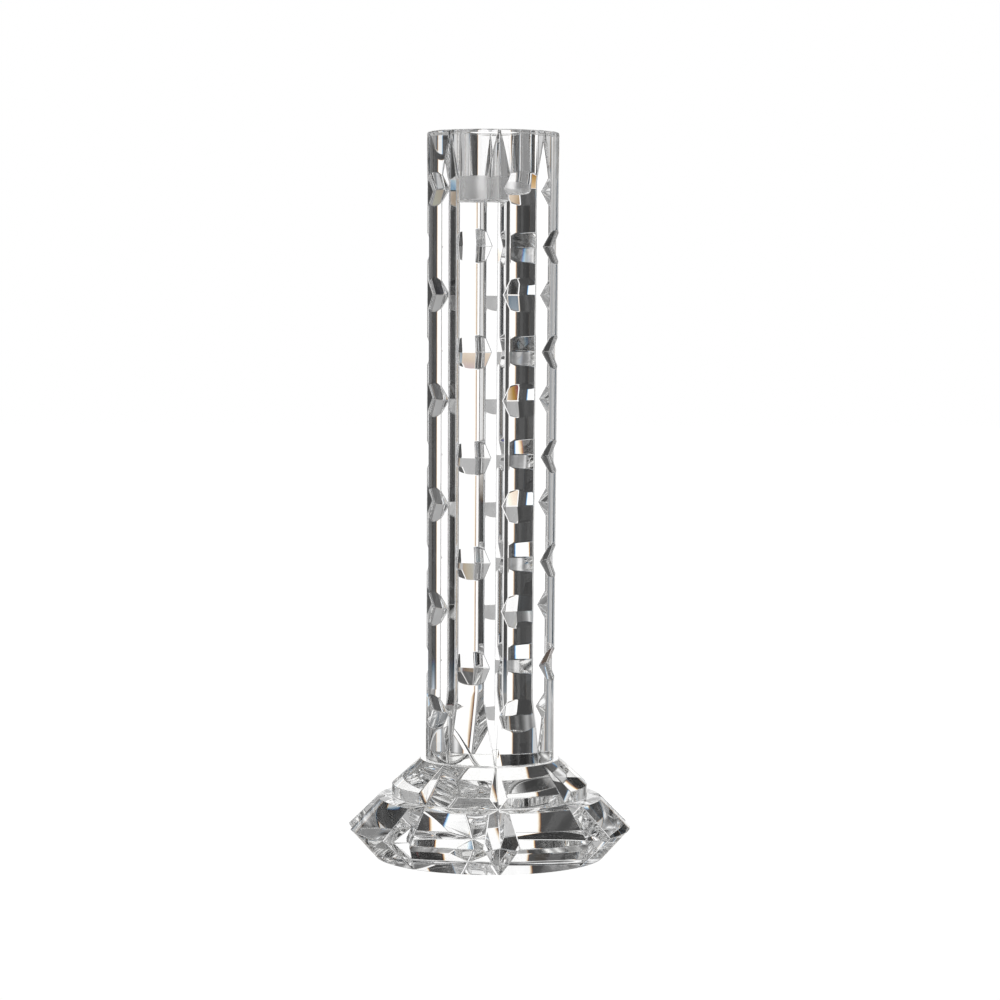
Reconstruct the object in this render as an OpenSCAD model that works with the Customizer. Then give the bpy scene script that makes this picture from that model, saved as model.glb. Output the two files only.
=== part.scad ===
// Cut-glass candlestick: a fluted and notched column bonded on a two-tier foot.
// The origin is the centre of the bottom face, +Z is up, and a groove faces -Y.

/* [Overall] */
// Height from the table to the rim
total_h = 280; // [240:1:320]
// How many mitre grooves, and so how many lands, go round
facets = 8; // [8:1:8]

/* [Column] */
// Radius of the column at its rim
rim_r = 25.5; // [25:0.1:26.5]
// Radius of the column where it stands on the foot
root_r = 24.9; // [24.5:0.1:25.5]
// Bevel polished round the outside of the rim
rim_bevel = 0.5; // [0.3:0.1:0.8]

/* [Column grooves] */
// Depth of a full groove
groove_depth = 3.9; // [3.4:0.1:4.2]
// Angle between a groove's two walls
groove_angle = 103; // [98:1:110]
// Length over which a groove runs out under the rim
upper_run_out = 19; // [15:1:24]
// Length over which a groove runs out above the foot
lower_run_out = 25; // [18:1:30]

/* [Land notches] */
// Depth of a notch at the middle of its land
notch_depth = 3.15; // [2.6:0.05:3.3]
// Angle between a notch's two walls
notch_angle = 128; // [118:1:132]
// Height of the lowest notch on the lands that have the longer row
first_notch_z = 57.2; // [54:0.2:60]
// Distance between two notches on one land
notch_pitch = 40.1; // [38:0.1:41]
// How many notches the longer row has, and the shorter one has one less
notch_rows = 6; // [4:1:6]
// How far the shorter row starts above the longer one
notch_stagger = 18.4; // [17:0.1:21]

/* [Candle socket] */
// Radius of the socket, for a standard 22 mm candle
socket_r = 11.25; // [10.5:0.05:11.6]
// Depth of the socket
socket_depth = 27; // [20:1:30]
// Bevel round the socket's mouth
socket_bevel = 0.4; // [0.2:0.1:0.8]

/* [Upper tier] */
// Radius of the flat that the column stands on
seat_r = 27; // [26.6:0.1:28.5]
// Radius of the upright band
band_r = 38; // [37:0.5:39.5]
// Height of the upright band
band_h = 4.2; // [3:0.2:5.5]
// Height of the whole tier
upper_h = 14.2; // [13:0.2:16]
// Angle between the walls of a radial cut, seen from above
upper_cut_angle = 92; // [84:1:96]

/* [Lower tier] */
// Radius of the bottom face
base_r = 44.6; // [43:0.2:46]
// Radius of the girdle, the widest edge
girdle_r = 55; // [54:0.5:57]
// Height of the girdle
girdle_z = 11.4; // [10:0.2:12.5]
// Radius of the outer edge of the ledge
ledge_r = 43.4; // [42.5:0.1:44.5]
// How far the ledge falls towards its outer edge
ledge_fall = 0.8; // [0.2:0.1:1.2]
// Height of the whole tier
lower_h = 23.7; // [22:0.1:25]
// Greatest depth of a radial cut, just under the girdle
girdle_cut_depth = 8; // [6:0.2:9]
// How far under the girdle a radial cut is deepest
girdle_cut_drop = 0.8; // [0.4:0.1:1.5]
// Angle between the walls of a radial cut, seen from above
lower_cut_angle = 81; // [74:1:86]

/* [Bonds] */
// Thickness of a film of clear adhesive
film_t = 0.1; // [0.1:0.05:0.2]
// How far a film stops short of the edge that it bonds
film_inset = 0.3; // [0.2:0.1:0.6]

/* [Hidden] */

tier_bond_z = lower_h;
upper_z = tier_bond_z + film_t;
band_top_z = upper_z + band_h;
seat_z = upper_z + upper_h;
column_z = seat_z + film_t;
column_h = total_h - column_z;

step = 360 / facets;
first_groove = -90;
first_land = first_groove + step / 2;

// How far a cut nicks the edge at which it runs out, so that it ends in a crisp point
nick = 0.2;
// How far out a V-shaped cutter opens, and how far a hole's cutter passes its mouth
reach = 80;
over = 1;
round_fn = 128;

// Radius of the column's plain surface at a height
function column_r(z) = root_r + (rim_r - root_r) * (z - column_z) / column_h;

// A long V-shaped cutter. Its valley runs straight through low and high, each [radius, height],
// and plan_angle is the angle between its walls, seen from above.
module mitre(low, high, plan_angle) {
    tilt = atan2(high[0] - low[0], high[1] - low[1]);
    flare = tan(plan_angle / 2) / cos(tilt);
    translate([low[0], 0, low[1]])
        rotate([0, tilt, 0])
            linear_extrude(2 * total_h, center = true)
                polygon([[0, 0], [reach, -reach * flare], [reach, reach * flare]]);
}

// Repeats its child once for each facet, starting at an angle
module around(first, every = 1) {
    for (i = [0 : every : facets - 1])
        rotate([0, 0, first + i * step])
            children();
}

// The turned blank of the column, before any cutting
module column_blank() {
    rotate_extrude($fn = round_fn)
        polygon([
            [0, column_z],
            [root_r, column_z],
            [rim_r, total_h - rim_bevel],
            [rim_r - rim_bevel, total_h],
            [0, total_h]
        ]);
}

// The blind hole that takes the candle
module socket() {
    translate([0, 0, total_h - socket_depth])
        cylinder(r = socket_r, h = socket_depth + over, $fn = round_fn);
    translate([0, 0, total_h - socket_bevel])
        cylinder(r1 = socket_r, r2 = socket_r + 2 * socket_bevel, h = 2 * socket_bevel, $fn = round_fn);
}

// One long groove. It is full depth in the middle and runs out at both ends, so it is what
// three straight cuts have in common.
module groove() {
    foot = [root_r - nick, column_z];
    low = [column_r(column_z + lower_run_out) - groove_depth, column_z + lower_run_out];
    high = [column_r(total_h - upper_run_out) - groove_depth, total_h - upper_run_out];
    rim = [rim_r - nick, total_h];
    intersection() {
        mitre(foot, low, groove_angle);
        mitre(low, high, groove_angle);
        mitre(high, rim, groove_angle);
    }
}

// One notch, cut square across a land
module notch(z) {
    open = reach * tan(notch_angle / 2);
    translate([column_r(z) - notch_depth, reach / 2, z])
        rotate([90, 0, 0])
            linear_extrude(reach)
                polygon([[0, 0], [reach, -open], [reach, open]]);
}

// A row of notches up one land
module notch_row(first_z, count) {
    for (i = [0 : count - 1])
        notch(first_z + i * notch_pitch);
}

module column() {
    color([0.93, 0.95, 0.97, 0.5])
        difference() {
            column_blank();
            socket();
            around(first_groove)
                groove();
            around(first_land, 2)
                notch_row(first_notch_z, notch_rows);
            around(first_land + step, 2)
                notch_row(first_notch_z + notch_stagger, notch_rows - 1);
        }
}

module column_bond() {
    color([0.9, 0.92, 0.85, 0.5])
        translate([0, 0, seat_z])
            cylinder(r = root_r - film_inset, h = film_t, $fn = round_fn);
}

module upper_tier() {
    color([0.9, 0.93, 0.96, 0.5])
        difference() {
            rotate_extrude($fn = round_fn)
                polygon([
                    [0, upper_z],
                    [band_r, upper_z],
                    [band_r, band_top_z],
                    [seat_r, seat_z],
                    [0, seat_z]
                ]);
            around(first_groove)
                mitre([band_r - nick, upper_z], [seat_r - nick, seat_z], upper_cut_angle);
        }
}

module tier_bond() {
    color([0.9, 0.92, 0.85, 0.5])
        translate([0, 0, tier_bond_z])
            cylinder(r = band_r - nick - film_inset, h = film_t, $fn = round_fn);
}

module lower_tier() {
    deepest = [girdle_r - girdle_cut_depth, girdle_z - girdle_cut_drop];
    color([0.9, 0.93, 0.96, 0.5])
        difference() {
            rotate_extrude($fn = round_fn)
                polygon([
                    [0, 0],
                    [base_r, 0],
                    [girdle_r, girdle_z],
                    [ledge_r, lower_h - ledge_fall],
                    [band_r, lower_h],
                    [0, lower_h]
                ]);
            around(first_groove) {
                mitre([base_r - nick, 0], deepest, lower_cut_angle);
                mitre(deepest, [band_r + nick, lower_h], lower_cut_angle);
            }
        }
}

column();
column_bond();
upper_tier();
tier_bond();
lower_tier();
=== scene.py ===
# %% [markdown]
# # A cut-glass candlestick
#
# The object is three blocks of clear crystal, bonded end to end: a round column with a candle
# socket, and a foot of two turned tiers. All the sparkle comes from wheel cutting. A cutter holds the
# turned blank against a V-shaped wheel and leaves straight grooves, called mitre cuts. So this lesson
# works as the workshop does: it turns a blank, cuts it with V-shaped cutters that Geometry Nodes
# repeat round it, softens every edge a little, and then polishes, which here means exact normals.
#
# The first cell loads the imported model. It is the frame: every piece below takes its place from it.

# %% Load the frame
import math

import bpy
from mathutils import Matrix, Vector


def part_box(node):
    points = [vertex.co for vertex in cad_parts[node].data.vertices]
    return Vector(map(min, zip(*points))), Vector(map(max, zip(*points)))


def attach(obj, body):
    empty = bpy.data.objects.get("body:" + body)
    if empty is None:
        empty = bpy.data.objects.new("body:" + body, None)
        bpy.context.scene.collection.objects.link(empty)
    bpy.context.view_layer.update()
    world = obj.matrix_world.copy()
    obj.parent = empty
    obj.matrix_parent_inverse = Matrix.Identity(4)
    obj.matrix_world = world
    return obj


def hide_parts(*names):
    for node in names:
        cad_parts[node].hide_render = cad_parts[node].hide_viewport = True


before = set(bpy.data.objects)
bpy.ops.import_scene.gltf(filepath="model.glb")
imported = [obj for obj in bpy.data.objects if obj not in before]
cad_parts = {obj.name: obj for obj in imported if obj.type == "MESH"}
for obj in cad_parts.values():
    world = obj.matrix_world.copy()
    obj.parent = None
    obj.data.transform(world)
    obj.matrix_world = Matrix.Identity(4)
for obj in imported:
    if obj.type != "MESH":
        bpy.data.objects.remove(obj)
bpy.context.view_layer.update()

MM = 0.001
column_low, column_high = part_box("column")
upper_low, upper_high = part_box("upper_tier")
lower_low, lower_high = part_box("lower_tier")
for name, low, high in (("column", column_low, column_high), ("lower tier", lower_low, lower_high)):
    print(name, "runs from", round(low[2] / MM, 2), "to", round(high[2] / MM, 2), "mm")

# %% [markdown]
# A finish is a material. One helper starts a node material with a Principled shader, and one helper
# adds a node with its inputs, so that each finish below reads as a short recipe. Clear crystal passes
# all light, so its transmission is 1, and leaded crystal bends light with an index of about 1.545.
# A wheel-cut face is never dead flat: the wheel leaves faint waves along its path, and acid polishing
# rounds them. A little bump from a stretched noise gives each finish its own waves.

# %% Helpers for finishes
CRYSTAL_INDEX = 1.545


def add_node(tree, kind, label="", **inputs):
    """Adds one node to a tree and sets its inputs by name. A socket given as a value is linked."""
    made = tree.nodes.new(kind)
    made.label = label
    for name, value in inputs.items():
        socket = made.inputs[name.replace("_", " ")]
        if isinstance(value, bpy.types.NodeSocket):
            tree.links.new(value, socket)
        else:
            socket.default_value = value
    return made


def start_finish(name):
    """An empty node material, and its output node."""
    finish = bpy.data.materials.new(name)
    finish.use_nodes = True
    finish.node_tree.nodes.clear()
    return finish, add_node(finish.node_tree, "ShaderNodeOutputMaterial")


def crystal_finish(name, wave_scale, wave_height, roughness=0.0):
    """Clear crystal with faint waves. wave_scale is waves per metre along X, Y and Z."""
    finish, output = start_finish(name)
    tree = finish.node_tree
    place = add_node(tree, "ShaderNodeTexCoord")
    stretch = add_node(tree, "ShaderNodeMapping", Vector=place.outputs["Object"], Scale=wave_scale)
    waves = add_node(tree, "ShaderNodeTexNoise", Vector=stretch.outputs["Vector"], Scale=1.0, Detail=1.5)
    bump = add_node(tree, "ShaderNodeBump", Height=waves.outputs["Fac"], Strength=1.0, Distance=wave_height)
    glass = add_node(tree, "ShaderNodeBsdfPrincipled", Normal=bump.outputs["Normal"])
    glass.inputs["Base Color"].default_value = (1.0, 1.0, 1.0, 1.0)
    glass.inputs["Roughness"].default_value = roughness
    glass.inputs["IOR"].default_value = CRYSTAL_INDEX
    glass.inputs["Transmission Weight"].default_value = 1.0
    tree.links.new(glass.outputs["BSDF"], output.inputs["Surface"])
    return finish


# %% [markdown]
# Five finishes cover the blocks. The turned faces have long, shallow waves that run up the piece, and
# the wheel leaves shorter ones in its cuts. The rounded edges are smoother still. The socket is drilled,
# so its wall keeps fine rings and a faint haze, and its floor is left ground, like frosted glass.

# %% Finishes
turned_finish = crystal_finish("turned_crystal", (60.0, 60.0, 14.0), 0.012 * MM)
cut_finish = crystal_finish("wheel_cut_crystal", (90.0, 90.0, 30.0), 0.010 * MM)
arris_finish = crystal_finish("softened_arris", (200.0, 200.0, 200.0), 0.004 * MM)
socket_finish = crystal_finish("drilled_socket_wall", (30.0, 30.0, 900.0), 0.02 * MM, roughness=0.04)
ground_finish = crystal_finish("ground_socket_floor", (500.0, 500.0, 500.0), 0.05 * MM, roughness=0.35)
crystal_finishes = [turned_finish, cut_finish, arris_finish, socket_finish, ground_finish]
print("finishes:", [finish.name for finish in crystal_finishes])

# %% [markdown]
# Where two blocks are bonded, a clear adhesive with nearly the index of the glass fills the joint, so
# light goes straight on and the joint hardly shows. Both faces of a joint are therefore see-through
# here, and so is the film between them, but for faint specks.

# %% Joint finishes
def bonded_joint_finish(name):
    """The face of a joint filled with matched adhesive. Light goes straight on, so it is see-through."""
    finish, output = start_finish(name)
    tree = finish.node_tree
    place = add_node(tree, "ShaderNodeTexCoord")
    specks = add_node(tree, "ShaderNodeTexVoronoi", Vector=place.outputs["Object"], Scale=400.0)
    tone = add_node(tree, "ShaderNodeValToRGB", Fac=specks.outputs["Distance"])
    tone.color_ramp.elements[0].color = (0.985, 0.985, 0.98, 1.0)
    tone.color_ramp.elements[1].color = (1.0, 1.0, 1.0, 1.0)
    clear = add_node(tree, "ShaderNodeBsdfTransparent", Color=tone.outputs["Color"])
    tree.links.new(clear.outputs["BSDF"], output.inputs["Surface"])
    return finish


joint_finish = bonded_joint_finish("bonded_joint")
adhesive_finish = bonded_joint_finish("cured_adhesive")

# %% [markdown]
# Each block starts as a blank on a lathe. A blank is an outline turned round the axis, so the helper
# takes the outline as points of radius and height, from the axis at the bottom to the axis at the top,
# and the finish of the stretch that starts at each point. Spin and Screw would do it as well, but a
# direct loop keeps the finish of every stretch, and leaves no doubled seam to clean up.

# %% Turn a blank
FINISHES = crystal_finishes + [joint_finish]
TURNED, CUT, ARRIS, SOCKET, GROUND, JOINT = range(len(FINISHES))
AROUND = 192


def turned_blank(name, outline):
    """A closed solid of revolution. outline is a list of (radius, height, finish of the next stretch)."""
    rings, points, faces, finishes = [], [], [], []
    for radius, height, _ in outline:
        count = AROUND if radius > 0 else 1
        rings.append(range(len(points), len(points) + count))
        for i in range(count):
            turn = 2 * math.pi * i / AROUND
            points.append((radius * math.cos(turn), radius * math.sin(turn), height))
    for (low, high), (_, _, finish) in zip(zip(rings, rings[1:]), outline):
        for i in range(AROUND):
            a, b = low[i % len(low)], low[(i + 1) % len(low)]
            c, d = high[(i + 1) % len(high)], high[i % len(high)]
            faces.append([p for k, p in enumerate((a, b, c, d)) if p not in (a, b, c, d)[:k]])
            finishes.append(finish)
    mesh = bpy.data.meshes.new(name)
    mesh.from_pydata(points, [], faces)
    for finish in FINISHES:
        mesh.materials.append(finish)
    mesh.polygons.foreach_set("material_index", finishes)
    blank = bpy.data.objects.new(name, mesh)
    bpy.context.scene.collection.objects.link(blank)
    return blank


# %% [markdown]
# The cutters are the shape that the wheel takes away: a V whose valley follows a short path of
# points. At each point the V is drawn level, so two stretches of one cut meet in a clean crease.
# The notches are the same V laid on its side.

# %% Make the cutters
# How far out a cutter opens, and how far its valley runs on past the ends of a block
REACH, OVERRUN = 12 * MM, 1 * MM


def cutter(name, rings):
    """A closed bar with three corners, from one ring of three corner points to the next."""
    corners = [p for ring in rings for p in ring]
    sides = []
    for k in range(len(rings) - 1):
        for i in range(3):
            a, b = 3 * k + i, 3 * k + (i + 1) % 3
            sides.append((a, b, b + 3, a + 3))
    last = 3 * (len(rings) - 1)
    mesh = bpy.data.meshes.new(name)
    mesh.from_pydata(corners, [], [(2, 1, 0), (last, last + 1, last + 2)] + sides)
    made = bpy.data.objects.new(name, mesh)
    bpy.context.scene.collection.objects.link(made)
    return made


def mitre_cutter(name, valley, plan_angle):
    """A V that opens outwards along +X. valley is a list of (radius, height), lowest first."""
    half = REACH * math.tan(math.radians(plan_angle) / 2)
    return cutter(name, [[(r, 0, z), (r + REACH, -half, z), (r + REACH, half, z)] for r, z in valley])


def notch_cutter(name, valley_radius, height, angle, length):
    """A V that lies across a land, square to the radius."""
    half = REACH * math.tan(math.radians(angle) / 2)
    r, z = valley_radius, height
    return cutter(name, [
        [(r, y, z), (r + REACH, y, z - half), (r + REACH, y, z + half)] for y in (length / 2, -length / 2)
    ])


# %% [markdown]
# The cutting itself repeats, so Geometry Nodes do it. The tree places the cutter up a line of points,
# for a row of notches, then round the axis, and takes it all away from the blank in one exact Boolean.
# The cutter's faces are marked before the cut, and the mark comes through it, so that the last node can
# give just the new walls the wheel's finish.

# %% Build the cutting tree
def cutting_tree():
    tree = bpy.data.node_groups.new("repeat_a_cut", "GeometryNodeTree")
    face = tree.interface
    face.new_socket("Geometry", in_out="INPUT", socket_type="NodeSocketGeometry")
    for name, kind in (
        ("Cutter", "NodeSocketObject"), ("Cut finish", "NodeSocketMaterial"),
        ("Count round", "NodeSocketInt"), ("First angle", "NodeSocketFloat"),
        ("Step angle", "NodeSocketFloat"), ("Rows", "NodeSocketInt"), ("Row step", "NodeSocketVector"),
    ):
        face.new_socket(name, in_out="INPUT", socket_type=kind)
    face.new_socket("Geometry", in_out="OUTPUT", socket_type="NodeSocketGeometry")

    given = tree.nodes.new("NodeGroupInput").outputs
    tool = add_node(tree, "GeometryNodeObjectInfo", "the cutter", Object=given["Cutter"])
    rows = add_node(tree, "GeometryNodeMeshLine", "places up the land",
                    Count=given["Rows"], Offset=given["Row step"])
    column = add_node(tree, "GeometryNodeInstanceOnPoints", "one row of cuts",
                      Points=rows.outputs["Mesh"], Instance=tool.outputs["Geometry"])
    stack = add_node(tree, "GeometryNodeRealizeInstances", Geometry=column.outputs["Instances"])
    places = add_node(tree, "GeometryNodePoints", "places round the axis", Count=given["Count round"])
    index = tree.nodes.new("GeometryNodeInputIndex")
    turn = add_node(tree, "ShaderNodeMath", "angle of each place")
    turn.operation = "MULTIPLY_ADD"
    tree.links.new(index.outputs["Index"], turn.inputs[0])
    tree.links.new(given["Step angle"], turn.inputs[1])
    tree.links.new(given["First angle"], turn.inputs[2])
    angles = add_node(tree, "ShaderNodeCombineXYZ", Z=turn.outputs[0])
    ring = add_node(tree, "GeometryNodeInstanceOnPoints", "the rows round the axis",
                    Points=places.outputs["Points"], Instance=stack.outputs["Geometry"],
                    Rotation=angles.outputs["Vector"])
    tools = add_node(tree, "GeometryNodeRealizeInstances", Geometry=ring.outputs["Instances"])
    mark = add_node(tree, "GeometryNodeStoreNamedAttribute", "mark the cutter's faces",
                    Geometry=tools.outputs["Geometry"], Name="fresh_cut")
    mark.data_type, mark.domain = "BOOLEAN", "FACE"
    mark.inputs["Value"].default_value = True
    cut = tree.nodes.new("GeometryNodeMeshBoolean")
    cut.operation, cut.solver = "DIFFERENCE", "EXACT"
    tree.links.new(given["Geometry"], cut.inputs["Mesh 1"])
    tree.links.new(mark.outputs["Geometry"], cut.inputs["Mesh 2"])
    whole = add_node(tree, "GeometryNodeRealizeInstances", Geometry=cut.outputs["Mesh"])
    fresh = add_node(tree, "GeometryNodeInputNamedAttribute", Name="fresh_cut")
    fresh.data_type = "BOOLEAN"
    finish = add_node(tree, "GeometryNodeSetMaterial", "finish of the new walls",
                      Geometry=whole.outputs["Geometry"], Selection=fresh.outputs["Attribute"],
                      Material=given["Cut finish"])
    tree.links.new(finish.outputs["Geometry"], tree.nodes.new("NodeGroupOutput").inputs["Geometry"])
    return tree


cutting = cutting_tree()
print("the cutting tree has", len(cutting.nodes), "nodes")

# %% [markdown]
# A modifier runs the tree. Its inputs are set before anything is evaluated. The result is then kept as
# a plain mesh, and the modifier comes off again, as a cut block comes off the wheel.

# %% Run the tree
def bake(piece):
    """Turns a piece with its modifiers into a plain mesh."""
    evaluated = piece.evaluated_get(bpy.context.evaluated_depsgraph_get())
    plain = bpy.data.meshes.new_from_object(evaluated)
    piece.modifiers.clear()
    piece.data = plain


def cut_blank(blank, tool, count, first_angle, rows=1, row_step=(0.0, 0.0, 0.0), finish=cut_finish):
    """Cuts a blank with a tool, count times round and rows times up, and drops the mark and the tool."""
    step = blank.modifiers.new("cut", "NODES")
    step.node_group = cutting
    values = {
        "Cutter": tool, "Cut finish": finish, "Count round": count, "Rows": rows,
        "First angle": math.radians(first_angle), "Step angle": 2 * math.pi / count, "Row step": row_step,
    }
    for item in cutting.interface.items_tree:
        if item.in_out == "INPUT" and item.name in values:
            step[item.identifier] = values[item.name]
    bake(blank)
    mark = blank.data.attributes.get("fresh_cut")
    print(blank.name, "cut with", tool.name, "-", len(blank.data.polygons), "faces, marked", mark is not None)
    if mark is not None:
        blank.data.attributes.remove(mark)
    bpy.data.objects.remove(tool)


# %% [markdown]
# No edge on cut glass is knife sharp: polishing leaves a narrow rounded arris, and those arrises are
# the thin bright lines that draw the pattern. A Bevel modifier makes them, as faces with a finish of
# their own. That finish also tells the last helper which faces are the real surfaces. It sets the exact
# normal at every corner: a turned face takes the slope of its cone, a cut face is flat, and the arris
# between them is left to turn smoothly from one to the other. Exact normals matter more in glass than
# in any other material, because light bends at every face it crosses.

# %% Soften the edges and polish
# Below this slope a turned face counts as level, and nearer than this a corner is on the axis
LEVEL_SLOPE, ON_AXIS = 1e-4, 1e-6


def limits(piece):
    """The lowest and the highest corner of the box round a piece."""
    corners = [corner.co for corner in piece.data.vertices]
    return [[pick(c[axis] for c in corners) for axis in range(3)] for pick in (min, max)]


def soften(piece, width, steps=2, sharpest=14.0):
    """Rounds every edge that turns by more than sharpest degrees. Nothing may stand out past the blank."""
    low, high = limits(piece)
    edge = piece.modifiers.new("arris", "BEVEL")
    edge.limit_method, edge.angle_limit = "ANGLE", math.radians(sharpest)
    edge.width, edge.segments, edge.material = width, steps, ARRIS
    edge.use_clamp_overlap = False
    edge.miter_outer = "MITER_SHARP"
    bake(piece)
    for corner in piece.data.vertices:
        corner.co = [min(max(v, a), b) for v, a, b in zip(corner.co, low, high)]


def polish(piece):
    """Gives every corner the normal of the true surface it lies on."""
    mesh = piece.data
    weights = [0.0] * len(mesh.vertices)
    normals = [Vector() for _ in mesh.vertices]
    loose = [Vector() for _ in mesh.vertices]
    for face in mesh.polygons:
        face.use_smooth = True
        for corner in face.vertices:
            loose[corner] += face.normal * face.area
        if face.material_index == ARRIS:
            continue
        flat = face.material_index in (CUT, JOINT)
        middle = face.center.xy.normalized()
        slope = face.normal.xy.dot(middle)
        for corner in face.vertices:
            if face.area <= weights[corner]:
                continue
            weights[corner] = face.area
            out = mesh.vertices[corner].co.xy
            if flat or abs(slope) < LEVEL_SLOPE or out.length < ON_AXIS:
                normals[corner] = face.normal.copy()
            else:
                out = out.normalized() * slope
                normals[corner] = Vector((out.x, out.y, face.normal.z)).normalized()
    true = [n if w > 0 else v.normalized() for n, w, v in zip(normals, weights, loose)]
    mesh.normals_split_custom_set_from_vertices(true)
    exact = sum(w > 0 for w in weights)
    print(piece.name, "polished:", len(mesh.polygons), "faces,", exact, "true corners of", len(weights))


# %% [markdown]
# The column is turned with a slight taper, which lets it leave its mould, and with its socket already
# in it. Eight grooves run its whole height and fade out at both ends. The lands between them carry
# notches, and the rows on neighbouring lands are staggered, so a notch always faces a plain stretch.

# %% Column
FACETS = 8
STEP = 360 / FACETS
FIRST_GROOVE = -90.0
FIRST_LAND = FIRST_GROOVE + STEP / 2
# How far a cut nicks the edge at which it fades out, so that it ends in a crisp point
NICK = 0.2 * MM
COLUMN_ARRIS = 0.3 * MM

rim_r = column_high[0]
root_r = 24.9 * MM
column_z, total_h = column_low[2], column_high[2]
rim_bevel = 0.5 * MM
socket_r, socket_depth, socket_bevel = 11.25 * MM, 27 * MM, 0.4 * MM
ground_height, floor_bevel = 9.8 * MM, 0.8 * MM
socket_z = total_h - socket_depth
groove_depth, groove_angle = 3.9 * MM, 103
upper_run_out, lower_run_out = 19 * MM, 25 * MM
notch_depth, notch_angle, notch_length = 3.15 * MM, 128, 30 * MM
first_notch_z, notch_pitch, notch_rows, notch_stagger = 57.2 * MM, 40.1 * MM, 6, 18.4 * MM
taper = (rim_r - root_r) / (total_h - column_z)


def column_r(z):
    """Radius of the column's plain surface at a height."""
    return root_r + taper * (z - column_z)


column_piece = turned_blank("crystal_column", [
    (0, column_z, JOINT),
    (root_r, column_z, TURNED),
    (rim_r, total_h - rim_bevel, TURNED),
    (rim_r - rim_bevel, total_h, TURNED),
    (socket_r + socket_bevel, total_h, TURNED),
    (socket_r, total_h - socket_bevel, SOCKET),
    (socket_r, socket_z + ground_height, GROUND),
    (socket_r, socket_z + floor_bevel, GROUND),
    (socket_r - floor_bevel, socket_z, GROUND),
    (0, socket_z, GROUND),
])
full_low, full_high = column_z + lower_run_out, total_h - upper_run_out
groove_tool = mitre_cutter("groove_wheel", [
    (root_r - NICK + groove_depth / lower_run_out * OVERRUN, column_z - OVERRUN),
    (column_r(full_low) - groove_depth, full_low),
    (column_r(full_high) - groove_depth, full_high),
    (rim_r - NICK + groove_depth / upper_run_out * OVERRUN, total_h + OVERRUN),
], groove_angle)
cut_blank(column_piece, groove_tool, FACETS, FIRST_GROOVE)
up_the_land = (taper * notch_pitch, 0.0, notch_pitch)
for land, low_z, rows in (
    (FIRST_LAND, first_notch_z, notch_rows),
    (FIRST_LAND + STEP, first_notch_z + notch_stagger, notch_rows - 1),
):
    wheel = notch_cutter("notch_wheel", column_r(low_z) - notch_depth, low_z, notch_angle, notch_length)
    cut_blank(column_piece, wheel, FACETS // 2, land, rows, up_the_land)
soften(column_piece, COLUMN_ARRIS)
polish(column_piece)

# %% [markdown]
# The foot is two turned tiers. Each has radial cuts in line with the column's grooves, so the pattern
# runs on down to the table. The upper cuts fade out at the seat and at the foot of the band. The lower
# ones start where those end, are deepest just under the girdle and fade out at the bottom edge.

# %% Upper tier
UPPER_ARRIS, SHOULDER_ANGLE = 0.25 * MM, 92
band_r, upper_z, seat_z = upper_high[0], upper_low[2], upper_high[2]
seat_r, band_h = 27 * MM, 4.2 * MM
upper_piece = turned_blank("crystal_upper_tier", [
    (0, upper_z, JOINT),
    (band_r, upper_z, TURNED),
    (band_r, upper_z + band_h, TURNED),
    (seat_r, seat_z, TURNED),
    (root_r, seat_z, JOINT),
    (0, seat_z, TURNED),
])
band_slope = (band_r - seat_r) / (seat_z - upper_z)
shoulder_tool = mitre_cutter("shoulder_wheel", [
    (band_r - NICK + band_slope * OVERRUN, upper_z - OVERRUN),
    (seat_r - NICK - band_slope * OVERRUN, seat_z + OVERRUN),
], SHOULDER_ANGLE)
cut_blank(upper_piece, shoulder_tool, FACETS, FIRST_GROOVE)
soften(upper_piece, UPPER_ARRIS)
polish(upper_piece)

# %% [markdown]
# The lower tier is widest at its girdle, a sharp edge between the tapered underside and the slope above
# it. A narrow ledge, which falls a little, is left round the upper tier. A radial cut goes in under one
# slope and out over the other, so its valley has a crease where the two stretches meet.

# %% Lower tier
LOWER_ARRIS, GIRDLE_ANGLE = 0.3 * MM, 81
base_r, girdle_r, ledge_r, ledge_fall = 44.6 * MM, 55 * MM, 43.4 * MM, 0.8 * MM
girdle_z, lower_h = 11.4 * MM, lower_high[2]
girdle_cut_depth, girdle_cut_drop = 8 * MM, 0.8 * MM
deepest_r, deepest_z = girdle_r - girdle_cut_depth, girdle_z - girdle_cut_drop
lower_piece = turned_blank("crystal_lower_tier", [
    (0, 0, TURNED),
    (base_r, 0, TURNED),
    (girdle_r, girdle_z, TURNED),
    (ledge_r, lower_h - ledge_fall, TURNED),
    (band_r, lower_h, JOINT),
    (0, lower_h, TURNED),
])
under_slope = (deepest_r - base_r + NICK) / deepest_z
over_slope = (band_r + NICK - deepest_r) / (lower_h - deepest_z)
girdle_tool = mitre_cutter("girdle_wheel", [
    (base_r - NICK - under_slope * OVERRUN, -OVERRUN),
    (deepest_r, deepest_z),
    (band_r + NICK + over_slope * OVERRUN, lower_h + OVERRUN),
], GIRDLE_ANGLE)
cut_blank(lower_piece, girdle_tool, FACETS, FIRST_GROOVE)
soften(lower_piece, LOWER_ARRIS)
polish(lower_piece)

# %% [markdown]
# The frame has a plain node for each block. A finished block takes the place of its node and rides on the
# one body. The two films of adhesive keep the frame's own shape, because there is nothing to add to a
# plain thin disc, and get a see-through finish.

# %% Hand the pieces to the frame
for piece, node, slot_name in (
    (column_piece, "column", "column_crystal"),
    (upper_piece, "upper_tier", "foot_crystal"),
    (lower_piece, "lower_tier", "foot_crystal"),
):
    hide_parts(node)
    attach(piece, "root")
for film in ("column_bond", "tier_bond"):
    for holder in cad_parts[film].material_slots:
        holder.material = adhesive_finish
    print(film, "is finished as", adhesive_finish.name)

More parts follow.
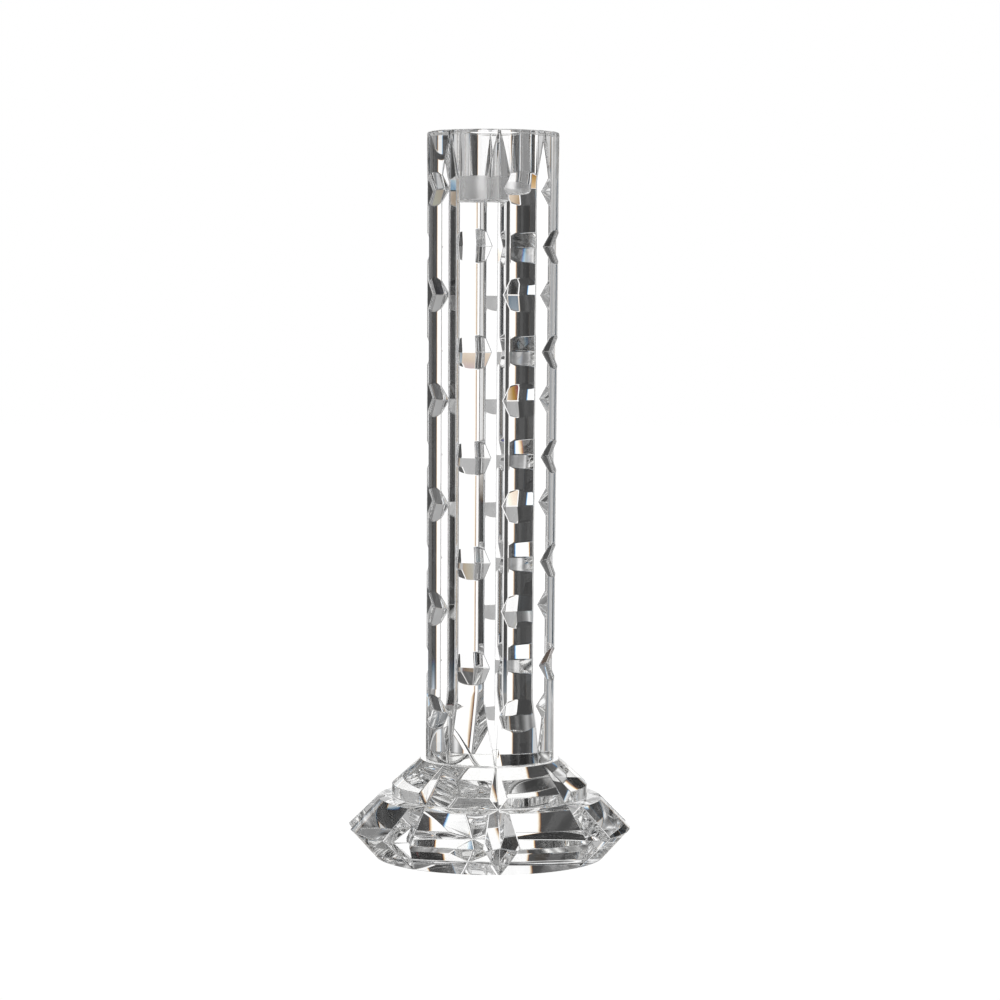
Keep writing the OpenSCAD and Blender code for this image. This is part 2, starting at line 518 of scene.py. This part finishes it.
# %% [markdown]
# Clear glass has no colour of its own: it shows the room, bent many times over. An even white room
# would make it vanish. Glass is therefore lit against a bright window between black cards. Light that
# goes almost straight through stays white, and light that a cut turns aside ends on a card and goes
# black. The room is painted here as a plan of cards, each a patch of azimuth and elevation with its own
# brightness. Azimuth 0 is straight behind the object, as seen from the camera. Later cards cover earlier
# ones. Real crystal also splits white light into colours, and the plan imitates that: it is spread a
# little between red, green and blue, so that the cards' edges get faint warm and cold fringes.

# %% Light plan
STUDIO_TURN = 5.0
# Blue is turned aside a little more than red: the share of the angle, and the angle where it stops growing
FIRE, FIRE_LIMIT = 0.009, 24.0
# The rest of the room is a soft clutter of greys: place on the ramp and brightness
CLUTTER_SCALE = 5.0
CLUTTER = [(0.36, 0.05), (0.44, 0.2), (0.5, 0.3), (0.56, 0.42), (0.64, 1.0)]
CARDS = [
    # what it is, from azimuth, to azimuth, from elevation, to elevation, brightness
    ("room wall left", -87, -56, -16, 59, 0.51),
    ("room wall right", 42, 99, -30, 64, 0.28),
    ("black left", -51, -14.5, -21, 56, 0.05),
    ("black right", 17.5, 50, -7, 54, 0.03),
    ("bright window", -14.5, 17.5, -60, 48, 1.1),
    ("top strip left", -22, -12, 23, 57, 1.15),
    ("top strip right", 15, 28, 36, 56, 1.15),
    ("dim band left", -50, -18, 19, 36, 0.02),
    ("dim band right", 17, 48, 26, 37, 0.6),
    ("grey in low back", -15, 22, -60, -16, 0.45),
    ("table glow", -24, 37, -87, -36, 1.15),
    ("low black left", -58, -24, -91, -38, 0.02),
    ("strip left", -50, -32, -14, 6, 0.67),
    ("strip right", 40, 47, -16, 4, 0.85),
    ("strip right up", 32, 40, 11.5, 20, 0.6),
    ("strip left up", -38, -25, 12, 18, 1.15),
    ("side right", 95, 113, -8, 12, 0.75),
    ("side right low", 95, 120, -7, -3, 0.02),
    ("camera right", 143, 174, -10, 22, 1.15),
    ("camera side", -182, -130, -1, 11, 0.02),
    ("camera side right", 162, 182, -17, 6, 0.07),
]
AZIMUTH_BLUR, ELEVATION_BLUR = 0.5, 0.4
# Places of a vector Map Range node's inputs: from the low end, from the high end, to the one, to the other
FROM_LOW, FROM_HIGH, TO_LOW, TO_HIGH = 7, 8, 9, 10


def plan_node(tree, kind, operation, *values):
    """Adds a math node that takes values and sockets, and returns its result."""
    made = tree.nodes.new(kind)
    made.operation = operation
    for socket, value in zip(made.inputs, values):
        if isinstance(value, bpy.types.NodeSocket):
            tree.links.new(value, socket)
        else:
            socket.default_value = value
    return made.outputs[0]


def on_numbers(operation, *values):
    return plan_node(plan, "ShaderNodeMath", operation, *values)


def on_colours(operation, *values):
    """The same for red, green and blue at once. A plain number stands for all three."""
    return plan_node(plan, "ShaderNodeVectorMath", operation, *[
        (value,) * 3 if isinstance(value, (int, float)) else value for value in values])


def fan_out(angle):
    """The angle as red, green and blue see it."""
    turned = on_numbers("MAXIMUM", on_numbers("MINIMUM", angle, FIRE_LIMIT), -FIRE_LIMIT)
    spread = on_numbers("MULTIPLY", turned, FIRE)
    red, blue = on_numbers("SUBTRACT", angle, spread), on_numbers("ADD", angle, spread)
    return add_node(plan, "ShaderNodeCombineXYZ", X=red, Y=angle, Z=blue).outputs["Vector"]


def soft_patch(angles, middle, half, blur, wraps=False):
    """1 inside middle plus or minus half, 0 outside, with a soft edge. All in degrees."""
    off = on_colours("SUBTRACT", angles, middle)
    if wraps:
        off = on_colours("WRAP", off, 180.0, -180.0)
    ramp = plan.nodes.new("ShaderNodeMapRange")
    ramp.data_type = "FLOAT_VECTOR"
    plan.links.new(on_colours("ABSOLUTE", off), ramp.inputs["Vector"])
    for place, setting in (
        (FROM_LOW, half - blur), (FROM_HIGH, half + blur), (TO_LOW, 1.0), (TO_HIGH, 0.0),
    ):
        ramp.inputs[place].default_value = (setting,) * 3
    return ramp.outputs["Vector"]


scene = bpy.context.scene
world = bpy.data.worlds.new("studio")
scene.world = world
world.use_nodes = True
plan = world.node_tree
plan.nodes.clear()
sky = plan.nodes.new("ShaderNodeTexCoord")
ray = add_node(plan, "ShaderNodeSeparateXYZ", Vector=sky.outputs["Generated"])
turn = on_numbers("ARCTAN2", ray.outputs["X"], ray.outputs["Y"])
azimuth = on_numbers("SUBTRACT", on_numbers("DEGREES", turn), STUDIO_TURN)
elevation = on_numbers("DEGREES", on_numbers("ARCSINE", ray.outputs["Z"]))
azimuths, elevations = fan_out(azimuth), fan_out(elevation)
clutter = add_node(
    plan, "ShaderNodeTexNoise", Vector=sky.outputs["Generated"], Scale=CLUTTER_SCALE, Detail=1.0)
shade = add_node(plan, "ShaderNodeValToRGB", Fac=clutter.outputs["Fac"])
for place, brightness in CLUTTER:
    shade.color_ramp.elements.new(place).color = (brightness, brightness, brightness, 1.0)
level = shade.outputs["Color"]
for _, west, east, low, high, brightness in CARDS:
    across = soft_patch(azimuths, (west + east) / 2, (east - west) / 2, AZIMUTH_BLUR, wraps=True)
    upright = soft_patch(elevations, (low + high) / 2, (high - low) / 2, ELEVATION_BLUR)
    gap = on_colours("SUBTRACT", brightness, level)
    level = on_colours("MULTIPLY_ADD", on_colours("MULTIPLY", across, upright), gap, level)
print(len(CARDS), "cards in the light plan")

# %% [markdown]
# Behind the object the camera sees plain white paper, so a camera ray skips the plan. The object stands
# on a light table: a pale sheet, lit from inside, so that nothing throws a shadow on it. The glass
# doesn't see the table. It sees the lower part of the plan instead, with its own bright and dark cards.

# %% Paper and light table
eye = plan.nodes.new("ShaderNodeLightPath")
room_light = plan.nodes.new("ShaderNodeBackground")
plan.links.new(level, room_light.inputs["Color"])
paper = plan.nodes.new("ShaderNodeBackground")
paper.inputs["Color"].default_value = (1.0, 1.0, 1.0, 1.0)
seen = plan.nodes.new("ShaderNodeMixShader")
plan.links.new(eye.outputs["Is Camera Ray"], seen.inputs["Fac"])
plan.links.new(room_light.outputs["Background"], seen.inputs[1])
plan.links.new(paper.outputs["Background"], seen.inputs[2])
plan.links.new(seen.outputs["Shader"], add_node(plan, "ShaderNodeOutputWorld").inputs["Surface"])

TABLE_GLOW = 1.03
table_finish, table_output = start_finish("light_table")
table_tree = table_finish.node_tree
place = add_node(table_tree, "ShaderNodeTexCoord")
grain = add_node(table_tree, "ShaderNodeTexNoise", Vector=place.outputs["Object"], Scale=6.0, Detail=2.0)
tone = add_node(table_tree, "ShaderNodeValToRGB", Fac=grain.outputs["Fac"])
tone.color_ramp.elements[0].color = (0.985, 0.985, 0.985, 1.0)
tone.color_ramp.elements[1].color = (1.0, 1.0, 1.0, 1.0)
glow = add_node(table_tree, "ShaderNodeEmission", Color=tone.outputs["Color"], Strength=TABLE_GLOW)
table_tree.links.new(glow.outputs["Emission"], table_output.inputs["Surface"])

HALF_TABLE, TABLE_Z = 4.0, -0.02 * MM
table_mesh = bpy.data.meshes.new("floor")
table_mesh.from_pydata(
    [(x * HALF_TABLE, y * HALF_TABLE, TABLE_Z) for x, y in ((-1, -1), (1, -1), (1, 1), (-1, 1))],
    [], [(0, 1, 2, 3)])
table_mesh.materials.append(table_finish)
table = bpy.data.objects.new("floor", table_mesh)
scene.collection.objects.link(table)
table.visible_transmission = False
table.visible_glossy = False
print("the table is", 2 * HALF_TABLE, "m across, with its top at", round(TABLE_Z / MM, 2), "mm")

# %% [markdown]
# The camera stands a little left of the front and almost as high as the column's top, as one would
# look at a candlestick on a table, and a long lens keeps the column's sides close to upright. It looks
# down just enough to put the object in the middle of the picture, without any lens shift, so that the
# views from other sides show all of it too. Light needs many bounces to find its way out of cut glass.

# %% Camera
CAMERA_AZIMUTH, CAMERA_ROLL = math.radians(5), math.radians(0.35)
CAMERA_TILT, CAMERA_PAN = math.radians(3.75), math.radians(0.14)
CAMERA_DISTANCE, CAMERA_HEIGHT = 1.184, 0.216
SENSOR, LENS = 36.0, 110.3
camera_data = bpy.data.cameras.new("camera")
camera_data.sensor_width, camera_data.lens = SENSOR, LENS
camera = bpy.data.objects.new("camera", camera_data)
scene.collection.objects.link(camera)
camera.location = (
    -CAMERA_DISTANCE * math.sin(CAMERA_AZIMUTH), -CAMERA_DISTANCE * math.cos(CAMERA_AZIMUTH), CAMERA_HEIGHT)
camera.rotation_euler = (math.radians(90) - CAMERA_TILT, -CAMERA_ROLL, -CAMERA_AZIMUTH - CAMERA_PAN)
scene.camera = camera

scene.view_settings.view_transform = "Standard"
scene.cycles.max_bounces = 32
scene.cycles.transmission_bounces = 32
scene.cycles.glossy_bounces = 24
scene.cycles.transparent_max_bounces = 32
print("camera at", [round(place, 3) for place in camera.location], "m, with a", LENS, "mm lens")
